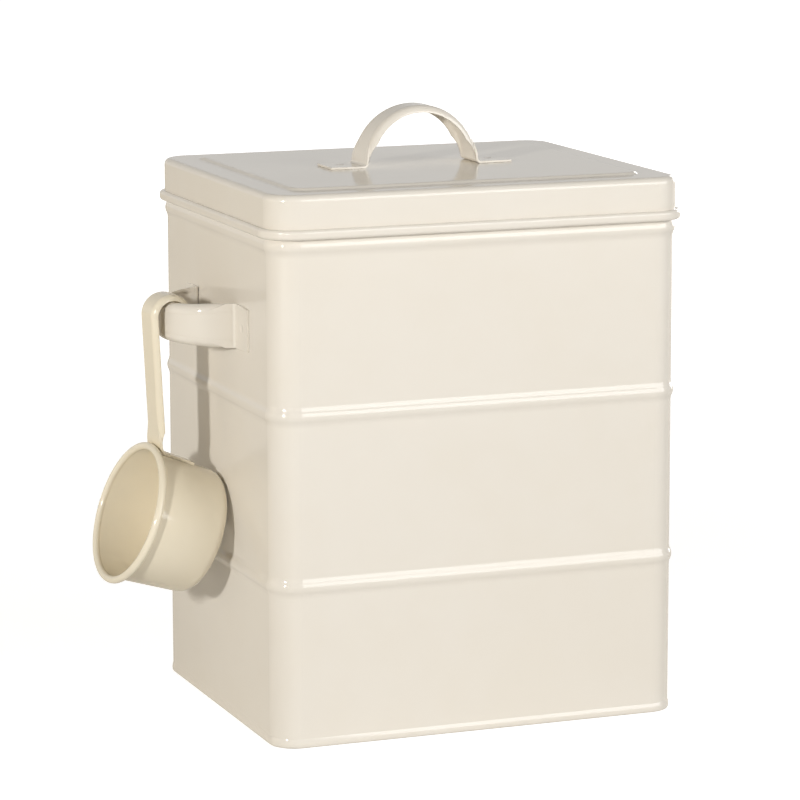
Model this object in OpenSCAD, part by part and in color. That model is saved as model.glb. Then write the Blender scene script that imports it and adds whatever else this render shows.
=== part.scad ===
// Laundry powder canister: sheet-steel body, lift-off lid and a scoop that hangs on the side.
// Millimetres. The origin is the middle of the standing ring, +Z is up and the front faces -Y.

/* [Body] */
// outside width of the wall, left to right
body_w = 180; // [150:1:220]
// outside depth of the wall, front to back
body_d = 152; // [135:1:190]
// height of the wall from the table to its curled top edge
body_h = 229; // [215:1:260]
// outside radius of the upright corners
corner_r = 11; // [10.5:0.5:18]
// thickness of the body, lid and cup sheet
sheet_t = 0.6; // [0.4:0.05:0.7]
// radius of the bottom edge that turns in under the base
bottom_r = 3; // [2.5:0.1:4]
// width of the flat standing ring
ring_w = 5; // [3:0.5:6]
// radius of the safe edge curled in along the top
top_curl_r = 1.3; // [1:0.1:1.5]
// width of the folded lock seam inside the back
seam_w = 6; // [4:0.5:10]
// distance that the lock seam stands in from the wall
seam_rise = 0.6; // [0.3:0.1:0.8]

/* [Beads] */
// height of a swaged bead over the wall
bead_rise = 1; // [0.6:0.1:1.2]
// height of the band that a bead takes up
bead_w = 8.5; // [7:0.5:10]
// middle of the low bead, as a share of the wall height
low_bead_share = 0.2956; // [0.22:0.0002:0.36]
// middle of the high bead, as a share of the wall height
high_bead_share = 0.6062; // [0.52:0.0002:0.66]

/* [Base] */
// height of the upturned rim of the base panel
base_rim_h = 5; // [3:0.5:10]
// inset of the step in the base panel from the wall
base_step_inset = 16; // [14:0.5:24]

/* [Lid] */
// height of the lid from the hem to the flat top edge
lid_h = 18.2; // [16:0.1:22]
// outside radius of the rounded top edge
lid_edge_r = 2.6; // [2.4:0.1:3]
// height of the rolled hem
hem_h = 4.2; // [3.6:0.1:5]
// distance that the hem stands out from the skirt
hem_out = 2.2; // [1.6:0.1:2.6]
// inset of the step in the lid top from the skirt
lid_step_inset = 12; // [11:0.5:20]

/* [Steps] */
// rise of the centre panels of lid and base
step_rise = 1; // [0.8:0.1:1.4]
// width of the sloping band round a centre panel
step_w = 3.2; // [2.4:0.1:3.6]
// corner radius of a centre panel
panel_r = 9; // [8:0.5:14]
// width of the flat on either side of a bend, where the flat pieces of a plate overlap
plate_lap = 2; // [1:0.5:3]

/* [Arched straps] */
// outside radius of the arch, for the lid handle and the scoop bracket
arch_r = 25.6; // [23:0.1:30]
// width of the strap over its curled edges, at the top of the arch
strap_w = 16; // [15:0.1:17.5]
// distance that each edge of the strap spreads from the top of the arch to the seat
strap_spread = 1.9; // [1.2:0.1:2.2]
// thickness of the strap
strap_t = 1; // [0.8:0.05:1.2]
// radius of the curled edges
strap_curl = 3; // [2.4:0.1:3.4]
// width of a foot at its bend, where the strap lies flat
foot_w = 18.6; // [18:0.1:21]
// width of a foot at its end
foot_end_w = 17.5; // [12:0.5:18]
// distance from the arch to the end of a foot
foot_l = 15.5; // [11:0.5:20]
// radius of the bend between arch and foot
foot_bend_r = 1.2; // [1:0.1:2]
// radius of the cut in which the curled edges run out
runout_r = 14; // [10:0.5:16]
// height above the seat at which the flat of a leg has its full width
flare_low = 2.5; // [2:0.1:4]
// height above the seat at which the flat of a leg starts to widen
flare_high = 13; // [10:0.5:16]
// distance that the flat of the strap lies inside the faces of its curled edges
leg_set = 0.05; // [0.04:0.01:0.1]
// width of the flat that each curled edge shares with the middle of the strap
edge_lap = 0.8; // [0.6:0.1:1.2]
// diameter of a weld mark in a foot
weld_d = 4; // [3:0.5:5]
// depth of a weld mark
weld_depth = 0.25; // [0.1:0.05:0.4]
// distance from the top edge of the wall down to the middle of the bracket
bracket_drop = 58.8; // [50:0.1:64]
// place of the bracket along the left wall, front to back
bracket_y = -2; // [-8:0.1:8]

/* [Scoop] */
// radius of the rim to the middle of its roll
rim_r = 29.1; // [27:0.1:31]
// radius of the rolled rim
roll_r = 1.6; // [1.3:0.1:1.9]
// distance that the cup wall stands inside the roll
roll_lap = 0.2; // [0.1:0.05:0.3]
// depth of the cup below the middle of the rim
cup_depth = 34; // [28:0.5:36]
// outside radius of the cup just above its base
cup_base_r = 26.9; // [24:0.1:28]
// radius of the rounded base edge
cup_edge_r = 4.5; // [3:0.5:6]
// width of the handle over its curled edges
handle_w = 14.7; // [13:0.1:16]
// radius of the curled edges of the handle
handle_curl = 2.5; // [2.2:0.1:2.8]
// distance from the middle of the hook down to the rim
handle_l = 55.2; // [50:0.1:70]
// outside radius of the hook
hook_r = 9.2; // [9:0.1:11]
// length of the straight end of the hook
hook_tip_l = 9; // [6:0.5:12]
// length of the tab along the cup
tab_l = 17; // [12:0.5:20]
// width of the tab
tab_w = 11; // [8:0.5:12]
// radius of the bend between handle and tab
tab_bend_r = 2.5; // [2:0.1:3]
// angle between the rim and the handle
rim_angle = 22.6; // [20:0.1:30]
// angle that the hanging scoop is turned towards the front
scoop_turn = 5; // [0:0.1:10]

/* [Clearances] */
// gap between pieces that are welded or clinched together
seat_gap = 0.05; // [0.02:0.01:0.1]
// gap between the lid skirt and the wall
lid_gap = 0.5; // [0.4:0.05:0.7]
// gap under the lid top and under the hook, where they rest
rest_gap = 0.3; // [0.3:0.05:0.5]
// gap between the hanging cup and the wall
hang_gap = 1; // [1:0.1:3]
// gap between the handle and the rolled rim
roll_gap = 0.32; // [0.2:0.02:0.6]
// distance that cuts run past a face
overrun = 2; // [1:0.5:4]

/* [Hidden] */
$fn = 72;
enamel = [0.91, 0.87, 0.78];
// foot arcs are this much larger than a touching arc, so that two arcs always cross
soft_share = 1.02;
// share of a bead's width at which its feet start, inside its crown
bead_foot_share = 0.2;
// share of a step's width that each of its two halves takes up, so that they overlap
step_half_share = 0.6;
// share of a bend's height that its filling takes up, so that it stays inside the arch
bend_fill_share = 0.9;

// radius of two equal arcs that climb a rise over a run
function climb_r(run, rise) = (run * run + rise * rise) / (4 * rise);

// lid and wall
lid_z = body_h + rest_gap + sheet_t - lid_h;
lid_out = lid_gap + sheet_t;
lid_w = body_w + 2 * lid_out;
lid_d = body_d + 2 * lid_out;
lid_corner_r = corner_r + lid_out;
hem_r = (hem_out + sheet_t) / 2;
lid_seat_z = lid_z + lid_h + step_rise;
bead_arc_r = climb_r(bead_w / 2, bead_rise);
shoulder_z = lid_z + bead_rise - bead_w / 2;
bead_heights = [low_bead_share * body_h, high_bead_share * body_h, shoulder_z];
form_depth = 3 * sheet_t;
seam_low = bottom_r + base_rim_h + overrun;
seam_high = body_h - 2 * top_curl_r - overrun;
seam_set = sheet_t / 2;

// arched straps
bracket_z = body_h - bracket_drop;
ridge_r = arch_r - strap_curl;
bend_z = strap_t + foot_bend_r;
bend_x = sqrt(pow(arch_r + foot_bend_r, 2) - pow(bend_z, 2));
bend_angle = asin(bend_z / (arch_r + foot_bend_r));
fillet_r = soft_share * foot_bend_r;
fillet_z = strap_t + fillet_r - leg_set;
leg_t = strap_t - 2 * leg_set;
arch_half = arch_r + foot_l;
leg_low = flare_low + bend_z;
leg_high = flare_high + bend_z;
strap_flat = strap_w / 2 - strap_curl;
middle_top = strap_flat - edge_lap / 2;
spread_slope = strap_spread / arch_r;
weld_x = (bend_x + arch_half) / 2;
weld_r = (pow(weld_d / 2, 2) + pow(weld_depth, 2)) / (2 * weld_depth);

// scoop, in a frame whose origin is the middle of its hook
cup_wall_r = rim_r - roll_r + sheet_t + roll_lap;
taper_angle = atan((cup_wall_r - cup_base_r) / (cup_depth - cup_edge_r));
roll_x = -hook_r - roll_gap - roll_r;
rim_x = roll_x - rim_r * sin(rim_angle);
rim_y = -handle_l - rim_r * cos(rim_angle);
slope = rim_angle + taper_angle;
tab_bend_out = tab_bend_r + strap_t;
side_x = rim_x + cup_wall_r * sin(rim_angle);
side_y = rim_y + cup_wall_r * cos(rim_angle);
tab_bend_x = tab_bend_out - hook_r;
tab_bend_y = side_y - (tab_bend_x - side_x) * tan(slope) + (tab_bend_out + seat_gap) / cos(slope);
handle_flat = handle_w / 2 - handle_curl;
handle_flare = flare_high - flare_low;
tab_from = roll_r + strap_t;

// the scoop hangs with its base edge at the wall: lean of the whole scoop about its hook
hook_x = -body_w / 2 - ridge_r;
ridge_drop = ridge_r - sqrt(pow(ridge_r, 2) - pow(handle_w / 2, 2));
rest_x = ridge_drop + handle_w * sin(scoop_turn) / 2;
rest_z = bracket_z + strap_w / 2 + spread_slope * (strap_curl + ridge_drop);
hook_z = rest_z - sqrt(pow(hook_r - handle_curl - rest_gap, 2) - pow(rest_x, 2));
edge_ring_r = cup_base_r - cup_edge_r;
edge_axial = cup_depth - cup_edge_r;
edge_x = rim_x + edge_axial * cos(rim_angle) + edge_ring_r * sin(rim_angle);
edge_y = rim_y - edge_axial * sin(rim_angle) + edge_ring_r * cos(rim_angle);
edge_reach = (-body_w / 2 - hang_gap - cup_edge_r - hook_x) / cos(scoop_turn);
edge_far = norm([edge_x, edge_y]);
scoop_lean = acos(edge_reach / edge_far) + atan2(edge_y, edge_x);

// sweeps a profile round a rectangle with rounded corners: x is outward, y is up
module around(w, d, r) {
    for (i = [0:3]) {
        out = (i % 2 == 0) ? w / 2 : d / 2;
        run = (i % 2 == 0) ? d - 2 * r : w - 2 * r;
        rotate([0, 0, 90 * i]) {
            translate([out, run / 2, 0])
                rotate([90, 0, 0])
                    linear_extrude(height = run)
                        children();
            translate([out - r, run / 2, 0])
                rotate_extrude(angle = 90)
                    translate([r, 0])
                        children();
        }
    }
}

// rectangle with rounded corners
module rounded(w, d, r) {
    square([w - 2 * r, d], center = true);
    square([w, d - 2 * r], center = true);
    for (sx = [-1, 1])
        for (sy = [-1, 1])
            translate([sx * (w / 2 - r), sy * (d / 2 - r)])
                circle(r = r);
}

// a quarter of a tube section: the corner bulges towards +x and -y
module quarter(r, t) {
    intersection() {
        difference() {
            circle(r = r);
            circle(r = r - t);
        }
        translate([0, -r])
            square([r, r]);
    }
}

// filled outline of one bead, with a soft foot above and below
module bead_form() {
    foot_r = soft_share * bead_arc_r;
    foot_low = bead_foot_share * bead_w;
    intersection() {
        translate([-form_depth, -bead_w / 2])
            square([form_depth + bead_rise, bead_w]);
        translate([bead_rise - bead_arc_r, 0])
            circle(r = bead_arc_r);
    }
    for (s = [0, 1])
        mirror([0, s])
            difference() {
                translate([-form_depth, foot_low])
                    square([form_depth + bead_rise / 2, bead_w / 2 - foot_low]);
                translate([foot_r, bead_w / 2])
                    circle(r = foot_r);
            }
}

// filled outline of the wall between two heights
module wall_form(low, high) {
    translate([-form_depth, low])
        square([form_depth, high - low]);
    for (z = bead_heights)
        translate([0, z])
            bead_form();
}

// section of the beaded sheet between two heights
module wall_sheet(low, high, t) {
    difference() {
        wall_form(low, high);
        translate([-t, 0])
            wall_form(low - overrun, high + overrun);
        translate([-form_depth - overrun, low - overrun])
            square([overrun, high - low + 2 * overrun]);
    }
}

// section of the whole wall, from the standing ring to the safe edge
module wall_section() {
    wall_sheet(bottom_r, body_h - top_curl_r, sheet_t);
    translate([-bottom_r, bottom_r])
        quarter(bottom_r, sheet_t);
    translate([-bottom_r - ring_w, 0])
        square([ring_w, sheet_t]);
    translate([-top_curl_r, body_h - top_curl_r])
        difference() {
            circle(r = top_curl_r);
            circle(r = top_curl_r - sheet_t);
        }
}

// filled outline of a step that climbs inwards
module step_form() {
    arc_r = climb_r(step_w, step_rise);
    foot_r = soft_share * arc_r;
    half = step_half_share * step_w;
    difference() {
        translate([-half, -form_depth])
            square([half, form_depth + step_rise / 2]);
        translate([0, foot_r])
            circle(r = foot_r);
    }
    intersection() {
        translate([-step_w, -form_depth])
            square([half, form_depth + step_rise]);
        translate([-step_w, step_rise - arc_r])
            circle(r = arc_r);
    }
}

// section of the sheet at a step, with a flat on either side
module step_section() {
    difference() {
        step_form();
        translate([0, -sheet_t])
            step_form();
        translate([-step_w - overrun, -form_depth - overrun])
            square([step_w + 2 * overrun, form_depth + overrun - sheet_t]);
    }
    translate([0, -sheet_t])
        square([plate_lap, sheet_t]);
    translate([-step_w - plate_lap, step_rise - sheet_t])
        square([plate_lap, sheet_t]);
}

// sheet plate with a raised centre panel: its outer flat has its top face at height zero
module stepped_plate(w, d, r, inset) {
    panel_w = w - 2 * inset;
    panel_d = d - 2 * inset;
    inner = 2 * step_w + plate_lap;
    translate([0, 0, -sheet_t])
        linear_extrude(height = sheet_t)
            difference() {
                rounded(w - plate_lap, d - plate_lap, r - plate_lap / 2);
                rounded(panel_w + plate_lap, panel_d + plate_lap, panel_r + plate_lap / 2);
            }
    around(panel_w, panel_d, panel_r)
        step_section();
    translate([0, 0, step_rise - sheet_t])
        linear_extrude(height = sheet_t)
            rounded(panel_w - inner, panel_d - inner, panel_r - inner / 2);
}

// outline with round ends for the rolled hem
module hem_form(r) {
    translate([hem_out - hem_r, hem_r])
        circle(r = r);
    translate([hem_out - hem_r, hem_h - hem_r])
        circle(r = r);
    translate([hem_out - hem_r - r, hem_r])
        square([2 * r, hem_h - 2 * hem_r]);
}

// section of the lid edge: rolled hem, skirt and rounded top edge
module lid_section() {
    difference() {
        hem_form(hem_r);
        hem_form(hem_r - sheet_t);
    }
    translate([-sheet_t, hem_h / 2])
        square([sheet_t, lid_h - lid_edge_r - hem_h / 2]);
    translate([-lid_edge_r, lid_h - lid_edge_r])
        mirror([0, 1])
            quarter(lid_edge_r, sheet_t);
    translate([-lid_edge_r - plate_lap, lid_h - sheet_t])
        square([plate_lap, sheet_t]);
}

// strap section with curled edges: the outer face is at x = 0 and the curls point to -x
module strap_section(w, curl) {
    flat = w / 2 - curl;
    translate([-strap_t, -flat])
        square([strap_t, 2 * flat]);
    for (s = [0, 1])
        mirror([0, s])
            translate([-curl, -flat])
                quarter(curl, strap_t);
}

// outline of a strap end that widens downwards, in width and height
module flare(flat, wide, low, high) {
    polygon([[-wide, 0], [wide, 0], [wide, low], [flat, high], [-flat, high], [-wide, low]]);
}

// filled outline under one face of an arched strap, with the bends at its feet
module arch_form(r, bend, low) {
    block_high = bend_fill_share * r * sin(bend_angle);
    intersection() {
        circle(r = r);
        translate([-r, low])
            square([2 * r, r - low]);
    }
    for (s = [0, 1])
        mirror([s, 0])
            difference() {
                translate([0, low])
                    square([bend_x, block_high - low]);
                translate([bend_x, fillet_z])
                    circle(r = bend);
            }
}

// arched strap seen from the side: feet, bends and legs in one sheet
module arch_side() {
    difference() {
        union() {
            arch_form(arch_r - leg_set, fillet_r + leg_set, 0);
            translate([-arch_half, 0])
                square([2 * arch_half, leg_t]);
        }
        arch_form(arch_r - strap_t + leg_set, fillet_r + strap_t - leg_set, -overrun);
    }
}

// arched strap seen from above: feet that narrow towards their ends
module arch_plan() {
    for (s = [0, 1])
        mirror([s, 0])
            polygon([
                [-overrun, -foot_w / 2], [weld_x, -foot_w / 2], [arch_half, -foot_end_w / 2],
                [arch_half, foot_end_w / 2], [weld_x, foot_w / 2], [-overrun, foot_w / 2]
            ]);
}

// one curled edge of the arched strap, with the flat that it shares with the middle
module edge_section() {
    translate([-strap_t, strap_flat - edge_lap])
        square([strap_t, edge_lap]);
    translate([-strap_curl, strap_flat])
        mirror([0, 1])
            quarter(strap_curl, strap_t);
}

// both curled edges: a shear along the arch's own axis spreads them towards the feet
module strap_edges() {
    for (s = [0, 1])
        mirror([0, 0, s])
            multmatrix([[1, 0, 0, 0], [0, 1, 0, 0], [0, -spread_slope, 1, strap_spread], [0, 0, 0, 1]])
                rotate_extrude(angle = 180)
                    translate([arch_r, 0])
                        edge_section();
}

// half outline of the strap's middle, in width and height: narrow inside the edges, wide at the feet
module middle_outline() {
    leg_half = middle_top + spread_slope * (arch_r - leg_high);
    polygon([
        [-foot_w / 2, -overrun], [foot_w / 2, -overrun], [foot_w / 2, leg_low], [leg_half, leg_high],
        [middle_top, arch_r], [middle_top, arch_r + overrun], [-middle_top, arch_r + overrun],
        [-middle_top, arch_r], [-leg_half, leg_high], [-foot_w / 2, leg_low]
    ]);
}

// arched strap with curled edges that run out into flat feet: it stands on z = 0 and spans x
module arch_strap() {
    rotate([90, 0, 0]) {
        difference() {
            strap_edges();
            for (s = [-1, 1])
                translate([s * (arch_r - strap_t - runout_r), 0, 0])
                    cylinder(r = runout_r, h = strap_w + foot_w, center = true);
            translate([-arch_half, -overrun, -strap_w])
                cube([2 * arch_half, bend_z + overrun, 2 * strap_w]);
        }
        difference() {
            intersection() {
                linear_extrude(height = foot_w + 2 * overrun, center = true)
                    arch_side();
                translate([0, arch_r + overrun, 0])
                    rotate([90, 0, 0])
                        linear_extrude(height = arch_r + 2 * overrun)
                            arch_plan();
                rotate([0, 90, 0])
                    linear_extrude(height = 2 * arch_half + 2 * overrun, center = true)
                        middle_outline();
            }
            for (s = [-1, 1])
                translate([s * weld_x, leg_t - weld_depth + weld_r, 0])
                    sphere(r = weld_r);
        }
    }
}

// puts the scoop on its bracket
module hang() {
    translate([hook_x, bracket_y, hook_z])
        rotate([0, 0, scoop_turn])
            rotate([0, scoop_lean, 0])
                children();
}

// puts the cup at the end of the handle, with its mouth along z
module at_rim() {
    translate([rim_x, 0, rim_y])
        rotate([0, rim_angle - 90, 0])
            children();
}

module body_wall() {
    color(enamel) {
        around(body_w, body_d, corner_r)
            wall_section();
        translate([-seam_w / 2, body_d / 2, 0])
            rotate([90, 0, 90])
                linear_extrude(height = seam_w)
                    translate([-seam_set, 0])
                        wall_sheet(seam_low, seam_high, sheet_t + seam_rise - seam_set);
    }
}

module base_panel() {
    rim_out = sheet_t + seat_gap;
    color(enamel) {
        around(body_w, body_d, corner_r) {
            translate([-bottom_r, bottom_r])
                quarter(bottom_r - rim_out, sheet_t);
            translate([-bottom_r - plate_lap, rim_out])
                square([plate_lap, sheet_t]);
            translate([-rim_out - sheet_t, bottom_r])
                square([sheet_t, base_rim_h]);
        }
        translate([0, 0, rim_out + sheet_t])
            stepped_plate(body_w - 2 * bottom_r, body_d - 2 * bottom_r, corner_r - bottom_r, base_step_inset);
    }
}

module lid_shell() {
    color(enamel)
        translate([0, 0, lid_z]) {
            around(lid_w, lid_d, lid_corner_r)
                lid_section();
            translate([0, 0, lid_h])
                stepped_plate(lid_w - 2 * lid_edge_r, lid_d - 2 * lid_edge_r,
                              lid_corner_r - lid_edge_r, lid_step_inset - lid_edge_r);
        }
}

module lid_handle() {
    color(enamel)
        translate([0, 0, lid_seat_z + seat_gap])
            arch_strap();
}

module scoop_bracket() {
    color(enamel)
        translate([-body_w / 2 - seat_gap, bracket_y, bracket_z])
            rotate([0, -90, 0])
                rotate([0, 0, 90])
                    arch_strap();
}

// drawn cup: tapered wall, rounded base edge and rolled rim
module scoop_cup() {
    wall_low = cup_edge_r - cup_depth;
    color(enamel)
        hang()
            at_rim()
                rotate_extrude() {
                    polygon([
                        [cup_base_r - sheet_t, wall_low], [cup_base_r, wall_low],
                        [cup_wall_r, 0], [cup_wall_r - sheet_t, 0]
                    ]);
                    translate([edge_ring_r, wall_low])
                        quarter(cup_edge_r, sheet_t);
                    translate([0, -cup_depth])
                        square([edge_ring_r, sheet_t]);
                    translate([rim_r, 0])
                        difference() {
                            circle(r = roll_r);
                            circle(r = roll_r - sheet_t);
                        }
                }
}

// strap handle: hook, straight with curled edges that run out, bend and welded tab
module scoop_handle() {
    tab_low = -tab_from - tab_l;
    tab_gap = seat_gap + leg_set;
    low_r = cup_wall_r - tab_from * tan(taper_angle) + tab_gap;
    end_r = cup_wall_r + tab_low * tan(taper_angle) + tab_gap;
    color(enamel)
        hang() {
            rotate([90, 0, 0]) {
                rotate_extrude(angle = 180)
                    translate([hook_r, 0])
                        strap_section(handle_w, handle_curl);
                translate([hook_r, 0, 0])
                    rotate([90, 0, 0])
                        linear_extrude(height = hook_tip_l)
                            strap_section(handle_w, handle_curl);
                difference() {
                    translate([-hook_r, 0, 0])
                        rotate([90, 0, 0])
                            linear_extrude(height = -tab_bend_y)
                                mirror([1, 0])
                                    strap_section(handle_w, handle_curl);
                    translate([strap_t + runout_r - hook_r, tab_bend_y, 0])
                        cylinder(r = runout_r, h = handle_w + 2 * overrun, center = true);
                }
                translate([-hook_r, tab_bend_y, 0])
                    rotate([0, 90, 0])
                        linear_extrude(height = strap_t)
                            flare(handle_flat, handle_w / 2, flare_low, handle_flare);
                translate([tab_bend_x, tab_bend_y, 0])
                    rotate([0, 0, 180])
                        rotate_extrude(angle = 90 - slope)
                            translate([tab_bend_r, -handle_w / 2])
                                square([strap_t, handle_w]);
            }
            at_rim()
                intersection() {
                    rotate_extrude()
                        polygon([
                            [low_r, -tab_from], [low_r + strap_t, -tab_from],
                            [end_r + strap_t, tab_low], [end_r, tab_low]
                        ]);
                    translate([0, -tab_w / 2, tab_low - overrun])
                        cube([rim_r + overrun, tab_w, tab_l + 2 * overrun]);
                }
        }
}

body_wall();
base_panel();
lid_shell();
lid_handle();
scoop_bracket();
scoop_cup();
scoop_handle();
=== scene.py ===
# %% [markdown]
# # A cream enamelled powder canister
# The real object is a tin of thin steel sheet under gloss cream enamel: a beaded body on a turned-in
# base, a lid that lifts off by an arched strap, and a scoop that hangs by its hook on a side bracket.
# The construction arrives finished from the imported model. This script gives it its surface, the studio
# and the camera, and it never moves or reshapes what it loads.

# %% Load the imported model
import math

import bpy
from mathutils import Matrix, Vector


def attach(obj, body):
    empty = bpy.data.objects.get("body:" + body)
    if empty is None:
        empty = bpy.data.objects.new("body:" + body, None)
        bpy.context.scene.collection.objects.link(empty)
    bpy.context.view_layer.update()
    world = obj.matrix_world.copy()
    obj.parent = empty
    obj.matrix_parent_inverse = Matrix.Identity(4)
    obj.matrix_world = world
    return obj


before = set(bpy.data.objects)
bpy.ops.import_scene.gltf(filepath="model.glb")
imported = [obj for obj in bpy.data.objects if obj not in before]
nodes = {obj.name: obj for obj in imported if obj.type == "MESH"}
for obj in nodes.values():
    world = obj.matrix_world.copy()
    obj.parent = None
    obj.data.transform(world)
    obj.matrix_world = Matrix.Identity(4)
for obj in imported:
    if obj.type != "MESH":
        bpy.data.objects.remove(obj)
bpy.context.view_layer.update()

# %% [markdown]
# ## The camera
# A product picture is taken from far off with a long lens, so that upright edges stay nearly upright.
# Blender could aim the camera with a Track To constraint, but a constraint leaves no say over the tilt
# or over what lies in the middle of the picture. Where the camera stands was worked out beforehand
# from the slopes of the canister's own edges, so its matrix is written down instead. A camera looks
# along its own -Z axis, which makes the matrix simply three columns: right, up and backwards.

# %% Set up the camera
MM = 0.001
PICTURE_PX = 800
FOCAL_PX = 3786.5
SENSOR_MM = 36.0
CAMERA_AT = Vector((-0.58232, -1.50207, 0.42073))
CAMERA_AZIMUTH = math.radians(-20.956)
CAMERA_ELEVATION = math.radians(10.293)
CAMERA_ROLL = math.radians(-0.11)

backwards = Vector((
    math.sin(CAMERA_AZIMUTH) * math.cos(CAMERA_ELEVATION),
    -math.cos(CAMERA_AZIMUTH) * math.cos(CAMERA_ELEVATION),
    math.sin(CAMERA_ELEVATION),
))
level_right = Vector((math.cos(CAMERA_AZIMUTH), math.sin(CAMERA_AZIMUTH), 0.0))
level_up = backwards.cross(level_right)
right = level_right * math.cos(CAMERA_ROLL) + level_up * math.sin(CAMERA_ROLL)
up = level_up * math.cos(CAMERA_ROLL) - level_right * math.sin(CAMERA_ROLL)

lens = bpy.data.cameras.new("product_lens")
lens.sensor_width = SENSOR_MM
lens.lens = FOCAL_PX * SENSOR_MM / PICTURE_PX
camera = bpy.data.objects.new("product_camera", lens)
turned = Matrix((right, up, backwards)).transposed().to_4x4()
camera.matrix_world = Matrix.Translation(CAMERA_AT) @ turned
bpy.context.scene.collection.objects.link(camera)
bpy.context.scene.camera = camera
print(f"camera: {lens.lens:.1f} mm lens, {CAMERA_AT.length:.2f} m from the origin")

# %% [markdown]
# ## Sums in plain Python
# A node graph is hard to read as a list of links. A small class that wraps one socket lets the script
# say `peel * 0.3 + sag`, and adds the Math nodes by itself.


# %% Wrap a socket
class Wire:
    """One output socket that can be added, subtracted and multiplied."""

    def __init__(self, tree, socket):
        self.tree = tree
        self.socket = socket

    def reckon(self, operation, first, second):
        made = self.tree.nodes.new("ShaderNodeMath")
        made.operation = operation
        for socket, value in zip(made.inputs, (first, second)):
            plug(self.tree, socket, value)
        return Wire(self.tree, made.outputs["Value"])

    def __add__(self, other):
        return self.reckon("ADD", self, other)

    def __radd__(self, other):
        return self.reckon("ADD", other, self)

    def __sub__(self, other):
        return self.reckon("SUBTRACT", self, other)

    def __rsub__(self, other):
        return self.reckon("SUBTRACT", other, self)

    def __mul__(self, other):
        return self.reckon("MULTIPLY", self, other)

    def __rmul__(self, other):
        return self.reckon("MULTIPLY", other, self)

    def largest(self, other):
        return self.reckon("MAXIMUM", self, other)


def plug(tree, socket, value):
    """Link a wire to a socket, or set a plain value on it."""
    if isinstance(value, Wire):
        tree.links.new(value.socket, socket)
    else:
        socket.default_value = value


print("wires can be added, subtracted and multiplied")

# %% [markdown]
# ## Any other node
# All other nodes come from one method. It takes the node's type, then its settings, which can change
# the sockets that it has, and then what goes into its sockets. Some nodes have several sockets of one
# name, such as the colours and the numbers of a Mix node. Their identifiers differ, so a socket is
# looked up by its identifier first and by its name after that.


# %% Make a node
def find(sockets, key):
    """Find a socket by its number, its identifier or its name."""
    if isinstance(key, int):
        return sockets[key]
    matching = [socket for socket in sockets if socket.identifier == key]
    return matching[0] if matching else sockets[key.replace("_", " ")]


class Recipe:
    """A node tree that is written one node at a time."""

    def __init__(self, tree):
        self.tree = tree
        tree.nodes.clear()

    def node(self, kind, settings=None, output=0, **inputs):
        made = self.tree.nodes.new(kind)
        for setting, value in (settings or {}).items():
            setattr(made, setting, value)
        for key, value in inputs.items():
            plug(self.tree, find(made.inputs, key), value)
        return Wire(self.tree, find(made.outputs, output)) if len(made.outputs) else None

    def noise(self, at, per_metre, detail):
        return self.node("ShaderNodeTexNoise", Vector=at, Scale=per_metre, Detail=detail)

    def spread(self, value, span, to=(0.0, 1.0)):
        """Stretch a value from one range to another, with soft ends."""
        return self.node(
            "ShaderNodeMapRange", {"interpolation_type": "SMOOTHSTEP"}, "Result",
            Value=value, From_Min=span[0], From_Max=span[1], To_Min=to[0], To_Max=to[1],
        )

    def dot(self, first, second):
        return self.node(
            "ShaderNodeVectorMath", {"operation": "DOT_PRODUCT"}, "Value", Vector=first, Vector_001=second,
        )

    def tint(self, share, first, second):
        """Go from one colour to another."""
        return self.node(
            "ShaderNodeMix", {"data_type": "RGBA"}, "Result_Color",
            Factor_Float=share, A_Color=first, B_Color=second,
        )


print("nodes are made by type, settings and sockets")

# %% [markdown]
# ## Cream enamel
# Enamel is a thick, fired coat. From afar a flat colour would pass for it, but it is not dead flat: it
# flows into a fine ripple like orange peel, it drifts a little in tone where it ran off, and handling
# leaves faint changes of gloss. Thin sheet behind it also bows by a hair between its beads, which is
# what makes a straight reflection wander. Along a cut edge the coat pulls thin and the warmer ground
# shows through. A Bevel node finds those edges: it looks a fraction of a millimetre around each point,
# and where the normal it finds turns away from the point's own, an edge is near. The same normal goes
# into the Bump node, so that a sharp sheet edge catches light as a rounded one does. All of this is
# driven by Object coordinates in metres, so the scale is the real one on every piece.

# %% Mix the enamel
CREAM_THIN = (0.68, 0.575, 0.42, 1.0)
DRIFT_PER_M, TOUCH_PER_M, FLOW_PER_M, PEEL_PER_M = 9.0, 14.0, 55.0, 420.0
TONE_SPAN, TOUCH_SPAN, EDGE_SPAN = (0.35, 0.65), (0.30, 0.70), (0.06, 0.30)
DRIFT_SHARE, THIN_SHARE, EDGE_FLOW = 0.7, 0.45, 0.08
EDGE_MM, EDGE_SAMPLES = 0.30, 6
PEEL_MM, FLOW_MM = 0.003, 0.010
ROUGHNESS_SPAN = (0.075, 0.11)
ENAMEL_IOR = 1.5


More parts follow.
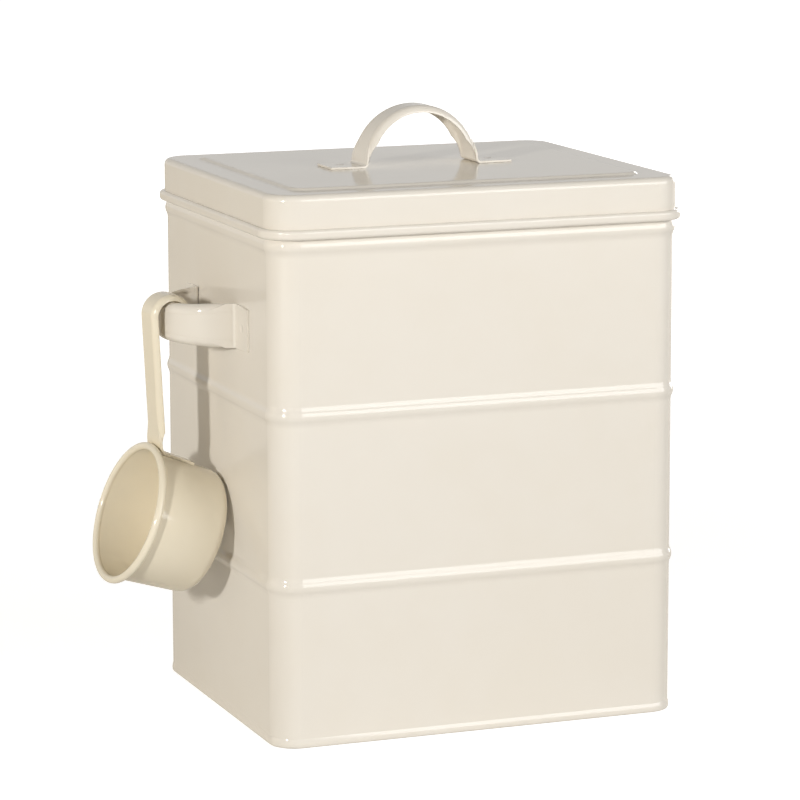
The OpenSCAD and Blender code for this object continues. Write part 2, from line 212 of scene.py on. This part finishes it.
def enamel(name, cream, deep, sag_mm):
    material = bpy.data.materials.new(name)
    material.use_nodes = True
    mix = Recipe(material.node_tree)
    at = mix.node("ShaderNodeTexCoord", output="Object")
    drift = mix.noise(at, DRIFT_PER_M, detail=3.0)
    flow = mix.noise(at, FLOW_PER_M, detail=2.0)
    peel = mix.noise(at, PEEL_PER_M, detail=1.0)
    touch = mix.noise(at, TOUCH_PER_M, detail=4.0)

    rounded = mix.node("ShaderNodeBevel", {"samples": EDGE_SAMPLES}, Radius=EDGE_MM * MM)
    plain = mix.node("ShaderNodeNewGeometry", output="Normal")
    edge = 1.0 - mix.dot(rounded, plain)
    thin = mix.spread(edge + flow * EDGE_FLOW, EDGE_SPAN)

    clouds = mix.spread(drift * DRIFT_SHARE + flow * (1.0 - DRIFT_SHARE), TONE_SPAN)
    tone = mix.tint(thin * THIN_SHARE, mix.tint(clouds, cream, deep), CREAM_THIN)
    gloss = mix.spread(touch, TOUCH_SPAN, ROUGHNESS_SPAN)
    ripple = peel * (PEEL_MM * MM) + flow * (FLOW_MM * MM) + drift * (sag_mm * MM)
    bump = mix.node("ShaderNodeBump", Height=ripple, Strength=1.0, Distance=1.0, Normal=rounded)
    coat = mix.node(
        "ShaderNodeBsdfPrincipled", Base_Color=tone, Roughness=gloss, Normal=bump, IOR=ENAMEL_IOR,
    )
    mix.node("ShaderNodeOutputMaterial", Surface=coat)
    return material


print(f"enamel thins out within {EDGE_MM} mm of an edge")

# %% [markdown]
# ## One coat for each body
# The three bodies share one recipe. The scoop is given a slightly deeper, more yellow cream than the rest,
# and the bigger a sheet is, the more it bows. Each loaded piece keeps its mesh and only changes its slot.

# %% Coat the pieces
CREAM, CREAM_DEEP = (0.80, 0.757, 0.687, 1.0), (0.79, 0.742, 0.664, 1.0)
SCOOP_CREAM, SCOOP_DEEP = (0.86, 0.79, 0.64, 1.0), (0.85, 0.775, 0.615, 1.0)
BODY_SAG_MM, LID_SAG_MM, SCOOP_SAG_MM = 0.16, 0.12, 0.05

body_enamel = enamel("body_enamel", CREAM, CREAM_DEEP, BODY_SAG_MM)
lid_enamel = enamel("lid_enamel", CREAM, CREAM_DEEP, LID_SAG_MM)
scoop_enamel = enamel("scoop_enamel", SCOOP_CREAM, SCOOP_DEEP, SCOOP_SAG_MM)
coats = {
    "body_wall": body_enamel, "base_panel": body_enamel, "scoop_bracket": body_enamel,
    "lid_shell": lid_enamel, "lid_handle": lid_enamel,
    "scoop_cup": scoop_enamel, "scoop_handle": scoop_enamel,
}
for name, coat in coats.items():
    nodes[name].data.materials.clear()
    nodes[name].data.materials.append(coat)
print(f"{len(coats)} pieces are enamelled")

# %% [markdown]
# ## The hem along the foot
# At the foot the wall is rolled outwards into a low hem, a few millimetres high and half a millimetre
# proud, which draws a second white line just above the floor. A bevelled curve would make it a round
# cord. Geometry Nodes can sweep any profile along the same path: a rectangle with filleted corners is
# the path, and a circle pulled into an egg, fuller below than above, is the profile. Along this path
# the profile's Y points down, so its heights are negative, and that mirroring turns the swept faces
# inwards until Flip Faces turns them back. The sweep sits half inside the wall that carries it.

# %% Write the sweep
HEM_SIZES = {
    "Width": 180.0 * MM, "Depth": 152.0 * MM, "Corner": 11.0 * MM,
    "Swell": 0.83 * MM, "Half Height": 2.4 * MM, "Skew": 0.45, "Inset": 0.45 * MM, "Lift": 2.45 * MM,
}
PROFILE_POINTS = 32
CORNER_POINTS = 14


def hem_tree(coat):
    tree = bpy.data.node_groups.new("foot_hem_sweep", "GeometryNodeTree")
    for name in HEM_SIZES:
        tree.interface.new_socket(name=name, in_out="INPUT", socket_type="NodeSocketFloat")
    tree.interface.new_socket(name="Hem", in_out="OUTPUT", socket_type="NodeSocketGeometry")
    sweep = Recipe(tree)
    size = {name: sweep.node("NodeGroupInput", output=name) for name in HEM_SIZES}

    path = sweep.node(
        "GeometryNodeCurvePrimitiveQuadrilateral", Width=size["Width"], Height=size["Depth"],
    )
    path = sweep.node(
        "GeometryNodeFilletCurve", {"mode": "POLY"},
        Curve=path, Count=CORNER_POINTS, Radius=size["Corner"],
    )
    path = sweep.node("GeometryNodeSetCurveNormal", {"mode": "Z_UP"}, Curve=path)

    ring = sweep.node("GeometryNodeCurvePrimitiveCircle", Resolution=PROFILE_POINTS, Radius=1.0)
    spot = sweep.node("GeometryNodeInputPosition")
    across = sweep.node("ShaderNodeSeparateXYZ", output="X", Vector=spot)
    along = sweep.node("ShaderNodeSeparateXYZ", output="Y", Vector=spot)
    out = across * (1.0 - along * size["Skew"]) * size["Swell"] - size["Inset"]
    drop = 0.0 - along * size["Half Height"] - size["Lift"]
    moved = sweep.node("ShaderNodeCombineXYZ", X=out, Y=drop)
    egg = sweep.node("GeometryNodeSetPosition", Geometry=ring, Position=moved)

    hem = sweep.node("GeometryNodeCurveToMesh", Curve=path, Profile_Curve=egg)
    hem = sweep.node("GeometryNodeFlipFaces", Mesh=hem)
    hem = sweep.node("GeometryNodeSetShadeSmooth", Geometry=hem)
    hem = sweep.node("GeometryNodeRealizeInstances", Geometry=hem)
    hem = sweep.node("GeometryNodeSetMaterial", Geometry=hem, Material=coat)
    sweep.node("NodeGroupOutput", Hem=hem)
    return tree


foot_sweep = hem_tree(body_enamel)
print(f"sweep: {len(foot_sweep.nodes)} nodes with {len(HEM_SIZES)} sizes")

# %% [markdown]
# ## From nodes to a plain mesh
# A modifier needs an object to sit on, so an empty mesh carries it for a moment. Its sizes are set by
# the identifiers of the tree's sockets. What comes out is copied to a mesh of its own and the carrier
# goes away, so the hem is a piece like any other, which rides on the canister.


# %% Make the hem
def sweep_piece(name, tree, sizes):
    carrier = bpy.data.objects.new(name + "_carrier", bpy.data.meshes.new(name + "_carrier"))
    bpy.context.scene.collection.objects.link(carrier)
    modifier = carrier.modifiers.new("sweep", "NODES")
    modifier.node_group = tree
    for item in tree.interface.items_tree:
        if item.in_out == "INPUT":
            modifier[item.identifier] = sizes[item.name]
    evaluated = carrier.evaluated_get(bpy.context.evaluated_depsgraph_get())
    mesh = bpy.data.meshes.new_from_object(evaluated)
    bpy.data.objects.remove(carrier)
    mesh.name = name
    piece = bpy.data.objects.new(name, mesh)
    bpy.context.scene.collection.objects.link(piece)
    return piece


foot_hem = sweep_piece("foot_hem", foot_sweep, HEM_SIZES)
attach(foot_hem, "canister")
low = [min(v.co[i] for v in foot_hem.data.vertices) for i in range(3)]
high = [max(v.co[i] for v in foot_hem.data.vertices) for i in range(3)]
print(f"foot_hem: {len(foot_hem.data.polygons)} faces, {[round(v / MM, 2) for v in low + high]} mm")

# %% [markdown]
# ## The floor
# The picture has a white ground. More lamps could burn the paper white, but they would also flatten
# the object. So the floor is a plain sheet that takes light and shadow, with a glow of its own that
# only the camera and reflections see. In reflections the glow is weaker and warm, as of paper under a
# warm lamp. For both it is weaker near the canister, where the lamps light the paper too and its
# shadow has to stay, and grows to full strength further out, where the lamps no longer reach.

# %% Lay the floor
FLOOR_SIZE = 12.0
WHITE, BLACK, PAPER = (1.0, 1.0, 1.0, 1.0), (0.0, 0.0, 0.0, 1.0), (0.70, 0.70, 0.70, 1.0)
FLOOR_MIRRORED, MIRRORED_TINT = 0.45, (1.0, 0.86, 0.64, 1.0)
GLOW_SPAN_M, GLOW_LEVELS = (0.30, 1.3), (0.74, 0.99)

bpy.ops.mesh.primitive_plane_add(size=FLOOR_SIZE, location=(0.0, 0.0, 0.0))
floor = bpy.context.object
floor.name = "studio_floor"


def ray(mix, kind):
    """1 for rays of one kind, otherwise 0."""
    return mix.node("ShaderNodeLightPath", output=f"Is {kind} Ray")


def seen_directly(mix, mirrored):
    """1 for rays from the camera and through glass, a share of it in reflections, otherwise 0."""
    return ray(mix, "Camera").largest(ray(mix, "Transmission")).largest(ray(mix, "Glossy") * mirrored)


paper = bpy.data.materials.new("studio_paper")
paper.use_nodes = True
mix = Recipe(paper.node_tree)
at = mix.node("ShaderNodeTexCoord", output="Object")
reach = mix.node("ShaderNodeVectorMath", {"operation": "LENGTH"}, "Value", Vector=at)
level = seen_directly(mix, FLOOR_MIRRORED) * mix.spread(reach, GLOW_SPAN_M, GLOW_LEVELS)
shine = mix.tint(ray(mix, "Glossy"), WHITE, MIRRORED_TINT)
glow = mix.node("ShaderNodeEmission", Color=mix.tint(level, BLACK, shine), Strength=1.0)
sheet = mix.node("ShaderNodeBsdfDiffuse", Color=PAPER)
both = mix.node("ShaderNodeAddShader", Shader=glow, Shader_001=sheet)
mix.node("ShaderNodeOutputMaterial", Surface=both)
floor.data.materials.append(paper)
print(f"floor: {FLOOR_SIZE:.0f} m wide, full glow from {GLOW_SPAN_M[1]} m out")

# %% [markdown]
# ## The world
# Above the horizon the camera sees the world. It is white to the camera in the same way as the floor,
# and dim and warm where it only lights the object, which keeps the shadows deep.

# %% Colour the world
WORLD_MIRRORED = 0.79
AMBIENT, AMBIENT_TINT = 0.12, (1.0, 0.91, 0.77, 1.0)

world = bpy.data.worlds.new("studio_world")
world.use_nodes = True
bpy.context.scene.world = world
mix = Recipe(world.node_tree)
direct = seen_directly(mix, WORLD_MIRRORED)
sky = mix.node(
    "ShaderNodeBackground", Color=mix.tint(direct, AMBIENT_TINT, WHITE),
    Strength=direct * (1.0 - AMBIENT) + AMBIENT,
)
mix.node("ShaderNodeOutputWorld", Surface=sky)
print(f"world: white for the camera, {AMBIENT:.0%} of that as light")

# %% [markdown]
# ## Five lamps
# A dome of even light would show every side and draw no highlight. One large, low soft box in front
# and to the right lights the front evenly and draws the white lines along the beads. A small lamp at
# the front left is the key: being small, it throws a sharp shadow of the scoop's handle and cup on to
# the side. A tiny one beside the camera leaves the bright dots on the corners. Two wide fills keep the
# sides that the first three miss from going dark: a warm one on the left, which gives the scoop's
# shadow its brown, and one behind on the right, for views from the back.

# %% Place the lamps
LAMP_AIM = Vector((0.0, 0.0, 0.12))
NEUTRAL, KEY_TINT, FILL_TINT = (1.0, 1.0, 1.0), (1.0, 0.98, 0.94), (1.0, 0.84, 0.60)
# name: (place in m, width and height in m, watts, tint)
LAMPS = {
    "front_box": ((1.471, -1.784, 0.70), (2.1, 1.33), 37.0, NEUTRAL),
    "key_box": ((-1.428, -0.999, 0.57), (0.12, 0.12), 18.0, KEY_TINT),
    "catch_light": ((-0.995, -1.723, 0.33), (0.05, 0.05), 1.0, NEUTRAL),
    "side_fill": ((-2.2, 0.6, 0.5), (1.6, 1.2), 5.0, FILL_TINT),
    "back_fill": ((1.9, 1.5, 0.45), (1.6, 1.2), 24.0, NEUTRAL),
}
for name, (place, size, watts, tint) in LAMPS.items():
    lamp = bpy.data.lights.new(name, "AREA")
    lamp.shape = "RECTANGLE"
    lamp.size, lamp.size_y = size
    lamp.energy = watts
    lamp.color = tint
    box = bpy.data.objects.new(name, lamp)
    box.location = place
    box.rotation_euler = (LAMP_AIM - Vector(place)).to_track_quat("-Z", "Y").to_euler()
    bpy.context.scene.collection.objects.link(box)
    print(f"{name}: {watts} W, {size[0]} x {size[1]} m")

# %% [markdown]
# ## Closing
# Last, the scene is set to the Standard view transform.

# %% Set the view transform
bpy.context.scene.view_settings.view_transform = "Standard"
